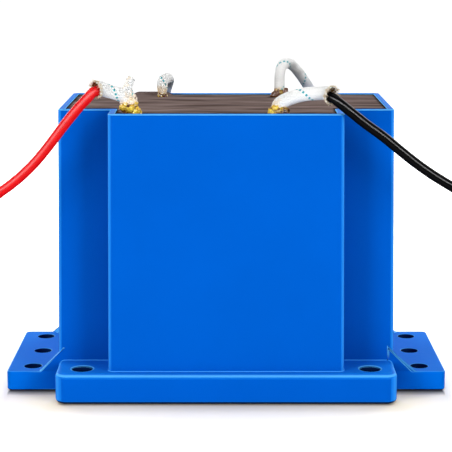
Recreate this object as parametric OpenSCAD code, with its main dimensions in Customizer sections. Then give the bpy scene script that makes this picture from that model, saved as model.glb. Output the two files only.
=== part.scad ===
// High voltage pulse transformer: a transformer potted with resin in a moulded
// box that is T-shaped from above. Braided sleeves rise from the resin at the
// front and over the back wall, and two flying leads come out of the front ones.
// +Z is up and the front faces -Y. The origin is on the surface that the box
// stands on, at the middle of the main box and of its four corner ear holes.

/* [Main box] */
// Width of the main box at its rim, from side to side
main_w = 102; // [94:1:120]
// Depth of the main box, from front to back
main_d = 50; // [46:1:64]
// Height of the box, from its underside to its rim
box_h = 88; // [70:1:110]
// How much further out each side of the main box is at its foot than at its rim
side_draft = 1.4; // [0.2:0.1:2]
// Thickness of the box's walls at the rim
wall_t = 2; // [1.6:0.1:2.6]
// Thickness of the box's closed bottom
bottom_t = 3; // [2:0.1:5]
// Radius of the upright outer edges of the box
edge_r = 1.8; // [0.6:0.1:2]

/* [Bulge] */
// Width at the rim of the narrower part of the box that stands forward
bulge_w = 70; // [62:1:78]
// How much further out each side of the part that stands forward is at its foot
bulge_draft = 1; // [0.2:0.1:2]
// How far the bulge stands forward of the main box
bulge_d = 13; // [11:0.5:18]

/* [Front flange] */
// Width of the thick flange along the foot of the front
flange_w = 104; // [98:1:112]
// How far the flange stands forward of the bulge
flange_lip = 2.7; // [1:0.1:6]
// Thickness of the flange
flange_t = 9.5; // [8:0.5:12]
// Radius of the flange's upright front corners
flange_corner_r = 3.6; // [2.5:0.1:5]
// Radius along the flange's top edge
flange_edge_r = 1.8; // [0.6:0.1:2.2]
// Diameter of the two flange holes
flange_hole_d = 6; // [4:0.1:7]
// From the flange's side to the middle of its hole
flange_hole_side = 8; // [6:0.1:10]
// From the main box's front to the middle of the flange holes
flange_hole_front = 9.2; // [6:0.1:10]
// Depth of the small bevel round each flange hole
flange_hole_bevel = 0.4; // [0.1:0.1:0.8]

/* [Side ears] */
// How far each ear stands out from the main box's rim
ear_reach = 17.5; // [15:0.5:24]
// Thickness of the ears
ear_t = 6; // [4:0.5:7]
// Radius of the ears' upright corners
ear_corner_r = 1.5; // [0.5:0.1:3]
// Diameter of the six ear holes
ear_hole_d = 5.3; // [4:0.1:6]
// From the ear's outer edge to the middle of its two end holes
ear_end_hole_edge = 7.5; // [6:0.1:9]
// From the ear's front or back to the middle of the end hole there
ear_end_hole_front = 6.5; // [5:0.1:9]
// From the ear's outer edge to the middle of its middle hole
ear_mid_hole_edge = 8.5; // [6:0.1:10]
// Length of the sloping ribs, out along the ear and up the wall
rib_reach = 5.6; // [4:0.1:8]
// Thickness of the ribs
rib_t = 3; // [2:0.5:3.5]

/* [Resin] */
// Depth of the resin's surface below the rim
resin_below = 0.4; // [0.2:0.1:2]

/* [Sleeves] */
// Outer diameter of the two front sleeves
front_sleeve_d = 4.2; // [3.6:0.1:4.6]
// Outer diameter of their flared mouths
front_mouth_d = 5.4; // [4.8:0.1:6]
// Outer diameter of the two rear sleeves
rear_sleeve_d = 3.6; // [3:0.1:4]
// From the bulge's left wall to the middle of the front left sleeve
front_left_side = 4.5; // [3.3:0.1:8]
// From the bulge's right wall to the middle of the front right sleeve
front_right_side = 17.5; // [9:0.5:24]
// From the main box's left wall to the middle of the rear left sleeve
rear_left_side = 28; // [18:0.5:34]
// From the main box's right wall to the middle of the rear right sleeve
rear_right_side = 31.5; // [22:0.5:36]
// From the bulge's front wall to the middle of a front sleeve
front_sleeve_in = 3.5; // [3.3:0.1:5]
// From the back wall to the middle of a rear sleeve
rear_sleeve_in = 5.5; // [4:0.1:6]
// Diameter of the cut wires in the rear sleeves
rear_wire_d = 2.2; // [1.5:0.1:2.6]
// Length of wire that the rear sleeves leave bare
rear_wire_l = 4; // [2:0.5:8]

/* [Beads] */
// Diameter of the varnish beads at the feet of the front sleeves
front_bead_d = 6.2; // [5.6:0.1:6.4]
// Height of the front left bead
front_left_bead_h = 3.2; // [2:0.1:3.3]
// Height of the front right bead
front_right_bead_h = 2.6; // [1.5:0.1:2.7]
// Diameter of the beads at the feet of the rear sleeves
rear_bead_d = 5.4; // [4.8:0.1:6]
// Height of the rear beads
rear_bead_h = 1.8; // [1:0.1:1.9]
// Gap between a bead and the sleeve that it surrounds
bead_gap = 0.05; // [0.02:0.01:0.1]

/* [Flying leads] */
// Outer diameter of the flying leads
lead_d = 3; // [2.4:0.1:3.2]
// Diameter of their tinned ends
tip_d = 1.6; // [1:0.1:2.4]
// Radius of the coil, at the middle of its two turns
coil_r = 16.5; // [13:0.5:20]
// Width of the tie's strap
tie_w = 2.5; // [1.5:0.1:4]
// Thickness of the tie's strap
tie_t = 0.4; // [0.3:0.05:0.4]
// Side of the tie's square head
tie_head = 3; // [2.5:0.1:3.5]

/* [Hidden] */
$fn = 48;
// How far shapes that are moulded in one run into each other
join = 2;
// Length that a cut runs past the faces that it opens
past = 1;
tube_sides = 12;
lead_sides = 8;

box_front = -main_d / 2;
box_back = main_d / 2;
bulge_front = box_front - bulge_d;
flange_front = bulge_front - flange_lip;
ear_side = main_w / 2 + ear_reach;
foot_w = main_w + 2 * side_draft;
resin_top = box_h - resin_below;
front_left_x = bulge_w / 2 - wall_t - front_left_side;
front_right_x = bulge_w / 2 - wall_t - front_right_side;
rear_left_x = main_w / 2 - wall_t - rear_left_side;
rear_right_x = main_w / 2 - wall_t - rear_right_side;
front_sleeve_y = bulge_front + wall_t + front_sleeve_in;
rear_sleeve_y = box_back - wall_t - rear_sleeve_in;
flange_hole_x = flange_w / 2 - flange_hole_side;
flange_hole_y = box_front - flange_hole_front;
ear_end_hole_x = ear_side - ear_end_hole_edge;
ear_end_hole_y = main_d / 2 - ear_end_hole_front;
ear_mid_hole_x = ear_side - ear_mid_hole_edge;

blue = [0.0, 0.37, 0.85];
resin_brown = [0.42, 0.37, 0.34];
braid_white = [0.9, 0.9, 0.86];
varnish = [0.85, 0.66, 0.25];
red = [0.9, 0.05, 0.05];
black = [0.05, 0.05, 0.06];
tin = [0.78, 0.78, 0.8];
wire_white = [0.82, 0.8, 0.74];

// Routes of the sleeves, from the foot at the resin to the mouth, each point
// given from the foot.
front_left_route = [
    [0, 0, 0], [0, 0, 1.6], [0, 0, 3.2], [-0.9, 0, 4.6], [-2.7, -0.2, 5.6],
    [-5, -0.9, 6.4], [-7.3, -1.9, 7.2], [-8.8, -3, 7.8], [-9.8, -3.8, 7.6],
];
front_right_route = [
    [0, 0, 0], [0, 0, 1.4], [0, 0, 2.7], [0.8, -0.1, 3.8], [2.4, -0.2, 4.8],
    [4.8, -0.4, 5.3], [8, -0.6, 5.8], [11.2, -1.1, 6.1], [13.9, -2.3, 6.3], [15.5, -3.8, 5.9],
];
rear_left_route = [
    [0, 0, 0], [0, 0, 1.9], [0, 0.5, 3.7], [0.2, 1.9, 5], [0.9, 4, 5.4], [1.6, 6, 5.3],
    [1.9, 7.6, 4.6], [1.4, 9.4, 2.8], [0.7, 10.7, 0.3], [0.5, 11.4, -2.8], [0.5, 11.6, -6],
    [0.5, 11.6, -8.6],
];
rear_right_route = [
    [0, 0, 0], [0, 0, 1.9], [0, 0.1, 4.2], [0.1, 0.6, 6.9], [0.7, 1.9, 9.4],
    [1.9, 3.4, 10.5], [3.6, 5.2, 10.3], [5.4, 6.8, 8.8], [7.3, 8.4, 6.4], [9.2, 10.1, 3.6],
    [10.9, 11.4, 0.8], [12, 12.1, -2.4], [12.5, 12.3, -5.6], [12.6, 12.3, -8.6],
];
// The pinched fold that stands up on the front left sleeve, from its foot
peak_route = [[-0.8, 0, 4.6], [-0.8, 0, 7.8], [0.6, 0, 10.6]];
peak_radii = [2, 1.9, 1.1];

// Routes of the flying leads, from the sleeve's mouth to the coil
red_route = [
    [-38.4, -36.4, 94.6], [-39.1, -37, 94.5], [-40.3, -37.6, 93.2], [-41.6, -38, 91.8],
    [-43.7, -38.6, 89.6],
    [-47.8, -39.4, 84.6], [-52, -40.1, 79.1], [-56.1, -40.7, 74.2], [-60.2, -41.3, 70.2],
    [-64.3, -41.8, 66.9], [-66.5, -42, 65.4], [-70.7, -42.3, 61.5], [-73.9, -42.5, 56.5],
    [-75.7, -42.6, 50.8], [-76, -42.5, 44], [-76, -42.4, 36], [-76, -42.2, 28.5],
    [-76, -42.1, 21], [-76.6, -42, 14.6], [-79, -42, 8.8], [-82.8, -42, 4.6],
    [-87.4, -42, 2.4], [-92, -42, 2], [-94, -42, 2],
];
black_route = [
    [31.1, -36.4, 92.7], [31.8, -37, 92.5], [32.9, -37.6, 91.6], [34.2, -38, 90.6],
    [36.5, -38.4, 88.8],
    [41.2, -39, 85.1], [46, -39.6, 81.7], [50.6, -40.2, 78], [55.4, -40.8, 74.2],
    [60.1, -41.4, 70.9], [64.8, -42, 68], [67.2, -42.1, 66.6], [70.4, -42.3, 64.1],
    [73.4, -42.5, 60.1], [75.3, -42.6, 55.4], [76, -42.5, 50], [76, -42.4, 43],
    [76, -42.3, 36], [76, -42.2, 28.5], [76, -42.1, 21], [76.6, -42, 14.6],
    [79, -42, 8.8], [82.8, -42, 4.6], [87.4, -42, 2.4], [92, -42, 2], [94, -42, 2],
];
// The coil carries on from the end of the route, lying flat
coil_start = red_route[len(red_route) - 1];
coil_x = -coil_start.x;
coil_y = coil_start.y + coil_r + lead_d / 2;
// Height of the coil above the surface, on the tie's strap
coil_lift = coil_start.z - lead_d / 2;
// Angles round a coil, from its foremost point and away from the box: where the
// outer turn ends, where the inner one starts, and where in the next turn it ends
outer_end = 320;
inner_start = 310;
inner_end = 260;
tip_turn = 30;
tie_at = 180;

function unit(v) = v / norm(v);
function flip(v) = [-v.x, v.y, v.z];

// Direction of a route at its point i, from the point before to the one after
function heading(route, i) =
    unit(route[min(i + 1, len(route) - 1)] - route[max(i - 1, 0)]);

// Ring of points round point i of a route, square to the route there
function ring(route, i, r, sides, across) =
    let (t = heading(route, i), u = unit(cross(t, across)), v = cross(t, u))
    [for (k = [0 : sides - 1])
        route[i] + r * (cos(360 * k / sides) * u + sin(360 * k / sides) * v)];

// Closed tube along a route, with a radius for each point. The route never runs
// along the direction given by across.
module tube(route, radii, sides, across) {
    n = len(route);
    points = [for (i = [0 : n - 1]) each ring(route, i, radii[i], sides, across)];
    walls = [for (i = [0 : n - 2], k = [0 : sides - 1])
        let (a = i * sides + k, b = i * sides + (k + 1) % sides)
        [a, a + sides, b + sides, b]];
    foot = [for (k = [0 : sides - 1]) k];
    mouth = [for (k = [sides - 1 : -1 : 0]) (n - 1) * sides + k];
    polyhedron(points, concat([foot], walls, [mouth]));
}

// Radii along a sleeve: even, and flared over its last two points
function sleeve_radii(route, d, mouth_d) =
    let (n = len(route))
    [for (i = [0 : n - 1]) i == n - 1 ? mouth_d / 2 : i == n - 2 ? (d + mouth_d) / 4 : d / 2];

module rounded_rect(w, d, r) {
    square([w - 2 * r, d], center = true);
    square([w, d - 2 * r], center = true);
    for (x = [-1, 1], y = [-1, 1])
        translate([x * (w / 2 - r), y * (d / 2 - r)]) circle(r);
}

// Long block whose right side passes through the rim and leans out below it
module leaning_side(w, front, back, out) {
    translate([w / 2, 0, box_h]) rotate([0, -atan(out / box_h), 0])
        translate([-w, (front + back) / 2, -box_h - 2 * past])
            linear_extrude(box_h + 4 * past) rounded_rect(2 * w, back - front, edge_r);
}

// Block from a front to a back, with a given width at the box's rim, whose two
// sides lean out towards its foot and whose upright edges are round
module leaning_block(w, front, back, out) {
    intersection() {
        leaning_side(w, front, back, out);
        mirror([1, 0, 0]) leaning_side(w, front, back, out);
        translate([-w, front - past, 0]) cube([2 * w, back - front + 2 * past, box_h]);
    }
}

// Outside of the box, wider at its foot than at its rim
module box_body() {
    leaning_block(main_w, box_front, box_back, side_draft);
    leaning_block(bulge_w, bulge_front, box_back - join, bulge_draft);
}

// Plan of the box's inside
module inside_outline() {
    square([main_w - 2 * wall_t, main_d - 2 * wall_t], center = true);
    translate([-bulge_w / 2 + wall_t, bulge_front + wall_t])
        square([bulge_w - 2 * wall_t, bulge_d + join]);
}

// Section through the flange's edge, from a line one corner radius inside it
module flange_section() {
    square([flange_corner_r, flange_t - flange_edge_r]);
    square([flange_corner_r - flange_edge_r, flange_t]);
    translate([flange_corner_r - flange_edge_r, flange_t - flange_edge_r])
        circle(flange_edge_r);
}

module flange() {
    side = flange_w / 2 - flange_corner_r;
    front = flange_front + flange_corner_r;
    back = box_front + join / 2;
    translate([-side, front, 0]) cube([2 * side, back - front, flange_t]);
    translate([-side, front, 0]) rotate([90, 0, 90]) linear_extrude(2 * side)
        mirror([1, 0]) flange_section();
    for (s = [-1, 1]) {
        translate([s * side, front, 0])
            rotate([0, 0, s > 0 ? -90 : 180]) rotate_extrude(angle = 90) flange_section();
        translate([s * side, back, 0]) rotate([90, 0, 0]) linear_extrude(back - front)
            mirror([s > 0 ? 0 : 1, 0]) flange_section();
    }
}

// Sloping rib between an ear and the main box's side wall
module rib() {
    rotate([90, 0, 0]) linear_extrude(rib_t) polygon([
        [-join, -join], [rib_reach, -join], [rib_reach, 0], [-join, rib_reach + join],
    ]);
}

module ribs() {
    for (s = [0, 1], y = [box_front + rib_t, box_back])
        mirror([s, 0, 0]) translate([foot_w / 2, y, ear_t]) rib();
}

module ear_holes() {
    for (x = [-1, 1]) {
        for (y = [-1, 1])
            translate([x * ear_end_hole_x, y * ear_end_hole_y, -past])
                cylinder(d = ear_hole_d, h = ear_t + 2 * past);
        translate([x * ear_mid_hole_x, 0, -past])
            cylinder(d = ear_hole_d, h = ear_t + 2 * past);
    }
}

module flange_holes() {
    for (x = [-1, 1]) translate([x * flange_hole_x, flange_hole_y, 0]) {
        translate([0, 0, -past]) cylinder(d = flange_hole_d, h = flange_t + 2 * past);
        translate([0, 0, flange_t - flange_hole_bevel])
            cylinder(d1 = flange_hole_d, d2 = flange_hole_d + 4 * flange_hole_bevel,
                h = 2 * flange_hole_bevel);
    }
}

module case() {
    color(blue) difference() {
        union() {
            box_body();
            linear_extrude(ear_t) rounded_rect(2 * ear_side, main_d, ear_corner_r);
            flange();
            ribs();
        }
        translate([0, 0, bottom_t]) linear_extrude(box_h) inside_outline();
        ear_holes();
        flange_holes();
    }
}

module resin_fill() {
    color(resin_brown) translate([0, 0, bottom_t])
        linear_extrude(resin_top - bottom_t) inside_outline();
}

// Ring of set varnish round the foot of a sleeve
module bead(x, y, d, h, sleeve_d) {
    color(varnish) translate([x, y, resin_top]) difference() {
        cylinder(d1 = d, d2 = (d + sleeve_d) / 2, h = h);
        translate([0, 0, -past]) cylinder(d = sleeve_d + 2 * bead_gap, h = h + 2 * past);
    }
}

module front_left_bead() {
    bead(-front_left_x, front_sleeve_y, front_bead_d, front_left_bead_h, front_sleeve_d);
}

module front_right_bead() {
    bead(front_right_x, front_sleeve_y, front_bead_d, front_right_bead_h, front_sleeve_d);
}

module rear_left_bead() {
    bead(-rear_left_x, rear_sleeve_y, rear_bead_d, rear_bead_h, rear_sleeve_d);
}

module rear_right_bead() {
    bead(rear_right_x, rear_sleeve_y, rear_bead_d, rear_bead_h, rear_sleeve_d);
}

module front_left_sleeve() {
    color(braid_white) translate([-front_left_x, front_sleeve_y, resin_top]) {
        tube(front_left_route, sleeve_radii(front_left_route, front_sleeve_d, front_mouth_d),
            tube_sides, [0, 1, 0]);
        tube(peak_route, peak_radii, tube_sides, [0, 1, 0]);
    }
}

module front_right_sleeve() {
    color(braid_white) translate([front_right_x, front_sleeve_y, resin_top])
        tube(front_right_route, sleeve_radii(front_right_route, front_sleeve_d, front_mouth_d),
            tube_sides, [0, 1, 0]);
}

module rear_sleeve(x, route) {
    color(braid_white) translate([x, rear_sleeve_y, resin_top])
        tube(route, sleeve_radii(route, rear_sleeve_d, rear_sleeve_d), tube_sides, [1, 0, 0]);
}

module rear_left_sleeve() {
    rear_sleeve(-rear_left_x, rear_left_route);
}

module rear_right_sleeve() {
    rear_sleeve(rear_right_x, rear_right_route);
}

// Cut end of the wire that hangs from a rear sleeve's mouth
module rear_wire(x, route) {
    color(wire_white)
        translate([x, rear_sleeve_y, resin_top] + route[len(route) - 1] - [0, 0, rear_wire_l])
            cylinder(d = rear_wire_d, h = rear_wire_l);
}

module rear_left_wire() {
    rear_wire(-rear_left_x, rear_left_route);
}

module rear_right_wire() {
    rear_wire(rear_right_x, rear_right_route);
}

module lead(route, shade) {
    color(shade)
        tube(route, [for (p = route) lead_d / 2], lead_sides, [0, 1, 0]);
}

// Puts its child at the left coil's middle, or mirrored at the right one's, so
// that turning starts at the coil's foremost point and goes away from the box
module at_coil(side) {
    mirror([side > 0 ? 1 : 0, 0, 0]) translate([-coil_x, coil_y, coil_lift]) children();
}

// Part of a turn with a given section, from one angle to another
module turn(from, to) {
    rotate([0, 0, -90 - to]) rotate_extrude(angle = to - from, $fn = 96) children();
}

// Ring of the two turns, cut away where the outer or the inner one is missing
module lead_coil(side, shade) {
    color(shade) at_coil(side) difference() {
        rotate_extrude($fn = 96) translate([coil_r - lead_d, 0]) square([2 * lead_d, lead_d]);
        turn(outer_end, 360) translate([coil_r, -past]) square([lead_d + past, lead_d + 2 * past]);
        turn(inner_end, inner_start) translate([coil_r - lead_d - past, -past])
            square([lead_d + past, lead_d + 2 * past]);
    }
}

module lead_tip(side) {
    color(tin) at_coil(side)
        turn(inner_end, inner_end + tip_turn)
            translate([coil_r - lead_d / 2, lead_d / 2]) circle(d = tip_d);
}

// Strap round both turns, with its head on the outside
module lead_tie(side, shade) {
    slack = coil_lift - tie_t;
    inner = coil_r - lead_d - slack;
    outer = coil_r + lead_d + slack;
    color(shade) at_coil(side) rotate([0, 0, -90 - tie_at]) {
        difference() {
            translate([inner - tie_t, -tie_w / 2, -coil_lift])
                cube([outer - inner + 2 * tie_t, tie_w, lead_d + 2 * coil_lift]);
            translate([inner, -tie_w / 2 - past, -slack])
                cube([outer - inner, tie_w + 2 * past, lead_d + 2 * slack]);
        }
        translate([outer + tie_t, -tie_head / 2, (lead_d - tie_head) / 2])
            cube([tie_head / 2, tie_head, tie_head]);
    }
}

module red_lead() {
    lead(red_route, red);
}

module red_lead_coil() {
    lead_coil(-1, red);
}

module red_lead_tie() {
    lead_tie(-1, black);
}

module red_lead_tip() {
    lead_tip(-1);
}

module black_lead() {
    lead(black_route, black);
}

module black_lead_coil() {
    lead_coil(1, black);
}

module black_lead_tie() {
    lead_tie(1, black);
}

module black_lead_tip() {
    lead_tip(1);
}

case();
resin_fill();
front_left_bead();
front_right_bead();
rear_left_bead();
rear_right_bead();
front_left_sleeve();
front_right_sleeve();
rear_left_sleeve();
rear_right_sleeve();
rear_left_wire();
rear_right_wire();
red_lead();
red_lead_coil();
red_lead_tie();
red_lead_tip();
black_lead();
black_lead_coil();
black_lead_tie();
black_lead_tip();
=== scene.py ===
# %% [markdown]
# # A potted high voltage pulse transformer
# The real object is a transformer in a blue moulded box that is filled with
# cast resin. Braided sleeves come up through the resin, and two flying leads
# leave the front ones. This lesson dresses the exact CAD model: it keeps every
# size and place, and makes each piece again with the rounding, weave, streaks
# and gloss that the plain solids lack.
#
# The CAD model is loaded first and never changed. Its box is kept, and printed
# again at the end.

# %% Load the frame
import math
import random

import bmesh
import bpy
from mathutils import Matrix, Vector, noise


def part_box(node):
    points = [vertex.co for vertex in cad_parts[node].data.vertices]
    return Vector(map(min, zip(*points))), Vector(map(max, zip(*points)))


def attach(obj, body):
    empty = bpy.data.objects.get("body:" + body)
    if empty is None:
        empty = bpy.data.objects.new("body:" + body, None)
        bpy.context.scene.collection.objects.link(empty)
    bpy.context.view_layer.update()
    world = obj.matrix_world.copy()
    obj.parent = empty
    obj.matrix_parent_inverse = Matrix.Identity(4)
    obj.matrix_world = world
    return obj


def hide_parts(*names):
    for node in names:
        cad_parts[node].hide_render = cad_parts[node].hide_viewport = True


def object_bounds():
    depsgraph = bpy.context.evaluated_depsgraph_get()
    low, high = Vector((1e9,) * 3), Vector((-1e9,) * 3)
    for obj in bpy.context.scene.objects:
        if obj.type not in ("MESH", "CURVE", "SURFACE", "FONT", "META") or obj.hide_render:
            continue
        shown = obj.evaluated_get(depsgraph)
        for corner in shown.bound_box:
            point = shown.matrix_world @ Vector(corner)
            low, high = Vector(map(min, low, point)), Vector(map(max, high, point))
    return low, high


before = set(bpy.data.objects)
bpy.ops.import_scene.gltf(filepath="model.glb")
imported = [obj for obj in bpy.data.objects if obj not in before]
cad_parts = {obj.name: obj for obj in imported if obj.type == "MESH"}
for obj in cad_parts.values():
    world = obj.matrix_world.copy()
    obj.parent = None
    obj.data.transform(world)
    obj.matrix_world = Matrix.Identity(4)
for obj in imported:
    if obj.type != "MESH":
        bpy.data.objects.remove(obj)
cad_low, cad_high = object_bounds()
case_low, case_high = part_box("case")
MM = 0.001
ACROSS, BACK = Vector((1, 0, 0)), Vector((0, 1, 0))
print("CAD box in mm:", [round(x / MM, 1) for x in (*cad_low, *cad_high)])

# %% [markdown]
# ## The camera
# A long lens keeps the front of the box nearly square, and a small tilt down
# shows a thin slice of the resin. A wide lens close by would splay the sides.
# The camera is made before the leads, because their coils have to lie outside
# its view.

# %% Camera
camera_data = bpy.data.cameras.new("camera")
camera_data.sensor_width = 36
camera_data.lens = 124.25
camera = bpy.data.objects.new("camera", camera_data)
before_flange, above_ground, tilt_down = 454.38 * MM, 140.1 * MM, 10.6
camera.location = (-0.04 * MM, case_low.y - before_flange, above_ground)
camera.rotation_euler = (math.radians(90 - tilt_down), 0, 0)
bpy.context.collection.objects.link(camera)
bpy.context.scene.camera = camera
bpy.context.scene.view_settings.view_transform = "Standard"
print("camera", round(before_flange / MM), "mm from the flange")

# %% [markdown]
# ## Helpers for lines and meshes
# Leads, sleeves, yarns and hairs are all long thin things that follow a line.
# A few chosen points give the line, a spline through them gives close points,
# and a small ring of vertices is carried along it. A curve object with a bevel
# could do this too, but a mesh lets each ring have its own size, and gives the
# shader a clean coordinate along and round the strand.


# %% Lines
def line_mm(*rows):
    return [Vector(row) * MM for row in rows]


def smooth_line(points, step):
    """Close points, about one step apart, on a spline through the given ones."""
    ends = [2 * points[0] - points[1], *points, 2 * points[-1] - points[-2]]
    made = []
    for a, b, c, d in zip(ends, ends[1:], ends[2:], ends[3:]):
        count = max(1, round((c - b).length / step))
        for i in range(count):
            t = i / count
            bend = (2 * a - 5 * b + 4 * c - d) * t * t + (3 * b - a - 3 * c + d) * t**3
            made.append((2 * b + (c - a) * t + bend) / 2)
    return [*made, points[-1].copy()]


def distances(line):
    """How far along the line each of its points is."""
    made = [0.0]
    for a, b in zip(line, line[1:]):
        made.append(made[-1] + (b - a).length)
    return made


def carried_frames(line, side):
    """Heading, side and up at each point, carried along without twisting."""
    made = []
    for i in range(len(line)):
        heading = (line[min(i + 1, len(line) - 1)] - line[max(i - 1, 0)]).normalized()
        side = (side - side.dot(heading) * heading).normalized()
        made.append((heading, side, heading.cross(side)))
    return made


print("a test line has", len(smooth_line(line_mm((0, 0, 0), (5, 0, 2), (9, 4, 2)), MM)), "points")


# %% Shares
def held(value, most=1):
    """A value held between zero and the most that it may be."""
    return min(most, max(0, value))


def smooth_share(share):
    """A share between zero and one that starts and ends softly."""
    share = held(share)
    return share * share * (3 - 2 * share)


print("a soft quarter is", round(smooth_share(0.25), 2))


# %% Meshes
def dress_mesh(mesh, materials, **values):
    """Gives a mesh its materials, smooth faces and named values on its vertices."""
    for material in materials:
        mesh.materials.append(material)
    mesh.polygons.foreach_set("use_smooth", [True] * len(mesh.polygons))
    for name, numbers in values.items():
        mesh.attributes.new(name, "FLOAT", "POINT").data.foreach_set("value", numbers)


def seat_piece(name, mesh, nodes):
    """A piece that rides on the root body and stands for CAD nodes."""
    mesh.name = name
    piece = bpy.data.objects.new(name, mesh)
    bpy.context.collection.objects.link(piece)
    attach(piece, "root")
    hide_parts(*nodes)
    print(name, len(mesh.polygons), "faces")
    return piece


print("mesh helpers ready")


# %% Meshes from rings
class Strands:
    """Collects strands, each a row of rings, and turns them into one mesh."""

    def __init__(self):
        self.points, self.faces, self.uvs, self.slots, self.masks = [], [], [], [], []

    def add(self, rings, along, masks=None, slot=0, caps=True):
        """Adds a strand. along gives each ring's distance, masks a value for each."""
        first, sides = len(self.points), len(rings[0])
        for i, ring in enumerate(rings):
            self.points.extend(ring)
            self.masks.extend([masks[i] if masks else 0.0] * sides)
        for i in range(len(rings) - 1):
            for k in range(sides):
                a, b = first + i * sides + k, first + i * sides + (k + 1) % sides
                self.faces.append((a, b, b + sides, a + sides))
                low, high = k / sides, (k + 1) / sides
                self.uvs.extend(((along[i], low), (along[i], high),
                                 (along[i + 1], high), (along[i + 1], low)))
                self.slots.append(slot)
        if caps:
            for i, order in ((0, -1), (len(rings) - 1, 1)):
                self.add_disc(first + i * sides, sides, along[i], order, slot)

    def add_disc(self, start, sides, distance, order, slot):
        """Closes the ring that starts at a vertex. order turns its face round."""
        self.faces.append(tuple(range(start, start + sides))[::order])
        self.uvs.extend([(distance, 0.5)] * sides)
        self.slots.append(slot)

    def piece(self, name, materials, nodes, slot):
        mesh = bpy.data.meshes.new(name)
        mesh.from_pydata(self.points, [], self.faces)
        dress_mesh(mesh, materials, mask=self.masks)
        mesh.polygons.foreach_set("material_index", self.slots)
        layer = mesh.uv_layers.new(name="run")
        layer.data.foreach_set("uv", [x for uv in self.uvs for x in uv])
        return seat_piece(name, mesh, nodes)


def round_ring(centre, side, up, radius, sides):
    return [
        centre + radius * (math.cos(a) * side + math.sin(a) * up)
        for a in (math.tau * k / sides for k in range(sides))
    ]


def tube_rings(line, radii, sides, side):
    """Rings of a plain tube, with one radius for each point of the line."""
    return [
        round_ring(p, s, u, r, sides)
        for p, (_, s, u), r in zip(line, carried_frames(line, side), radii)
    ]


print("strand helpers ready")

# %% [markdown]
# ## Helpers for materials
# Every material here is one Principled shader. Plain numbers go straight on
# its sockets, and small networks of noise feed only what changes over the
# surface. Effects that several finishes share are node groups, so that their
# pattern is drawn once and each finish places it with its own values.


# %% Node helpers
def feed(tree, node, inputs):
    """Links or sets inputs of a node, by number or by name with _ for a space."""
    for name, value in inputs.items():
        socket = node.inputs[name if isinstance(name, int) else name.replace("_", " ")]
        if isinstance(value, bpy.types.NodeSocket):
            tree.links.new(value, socket)
        else:
            socket.default_value = value


def add_node(tree, kind, inputs=None, **settings):
    made = tree.nodes.new("ShaderNode" + kind)
    for name, value in settings.items():
        setattr(made, name, value)
    feed(tree, made, inputs or {})
    return made


def new_material(name, **inputs):
    """A material, its tree and its shader, with plain values on the shader."""
    material = bpy.data.materials.new(name)
    material.use_nodes = True
    shader = material.node_tree.nodes["Principled BSDF"]
    feed(material.node_tree, shader, inputs)
    return material, material.node_tree, shader


def new_group(name, inputs, outputs):
    """A node group with named sockets, what comes in, and the node that results go to."""
    group = bpy.data.node_groups.new(name, "ShaderNodeTree")
    add_socket = group.interface.new_socket
    for socket, (kind, value) in inputs.items():
        made = add_socket(name=socket, in_out="INPUT", socket_type="NodeSocket" + kind)
        made.default_value = value
    for socket, kind in outputs.items():
        add_socket(name=socket, in_out="OUTPUT", socket_type="NodeSocket" + kind)
    start, end = group.nodes.new("NodeGroupInput"), group.nodes.new("NodeGroupOutput")
    return group, start.outputs, end


def place_group(tree, group, **inputs):
    return add_node(tree, "Group", inputs, node_tree=group).outputs


def rgb(red, green, blue):
    return (red, green, blue, 1.0)


WHITE, GREY = rgb(1, 1, 1), rgb(0.5, 0.5, 0.5)
print("node helpers ready")


# %% Steps between nodes
def maths(tree, operation, first, second):
    return add_node(tree, "Math", {0: first, 1: second}, operation=operation).outputs[0]


def vector_maths(tree, operation, *values):
    made = add_node(tree, "VectorMath", dict(enumerate(values)), operation=operation)
    return made.outputs["Value" if operation == "LENGTH" else "Vector"]


def parts_of(tree, vector):
    return add_node(tree, "SeparateXYZ", {"Vector": vector}).outputs


def ranged(tree, value, low, high, to_low=0.0, to_high=1.0):
    """Moves the range from low to high on to another, and holds values inside it."""
    inputs = dict(Value=value, From_Min=low, From_Max=high, To_Min=to_low, To_Max=to_high)
    return add_node(tree, "MapRange", inputs).outputs[0]


def noise_at(tree, place, scale, detail):
    return add_node(tree, "TexNoise", dict(Vector=place, Scale=scale, Detail=detail)).outputs[0]


def run_of(tree):
    """The coordinate along and round a strand."""
    return add_node(tree, "UVMap", uv_map="run").outputs[0]


def vertex_value(tree, name):
    return add_node(tree, "Attribute", attribute_name=name).outputs["Fac"]


def mix_colour(tree, share, first, second, blend="MIX"):
    inputs = {0: share, 6: first, 7: second}
    return add_node(tree, "Mix", inputs, data_type="RGBA", blend_type=blend).outputs[2]


def colour_ramp(tree, value, stops):
    """A colour for each value, from stops (value, red, green, blue) or (value, grey)."""
    ramp = add_node(tree, "ValToRGB", {"Fac": value})
    made = ramp.color_ramp.elements
    while len(made) < len(stops):
        made.new(1.0)
    for stop, (position, *tone) in zip(made, stops):
        stop.position = position
        stop.color = rgb(*(tone if len(tone) == 3 else tone * 3))
    return ramp.outputs["Color"]


print("steps between nodes ready")

# %% [markdown]
# ## Shared surface effects
# `cloudy tone` drifts slowly between two colours, as moulded, dipped and cast
# surfaces do. `skin texture` is the fine unevenness that stops a gloss from
# looking like glass. `yarn fibres` draws lines along a strand, whatever way the
# strand runs, because it reads the strand's own coordinate. Each could be an
# image, but noise has no seams and shows no repeat.

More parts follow.
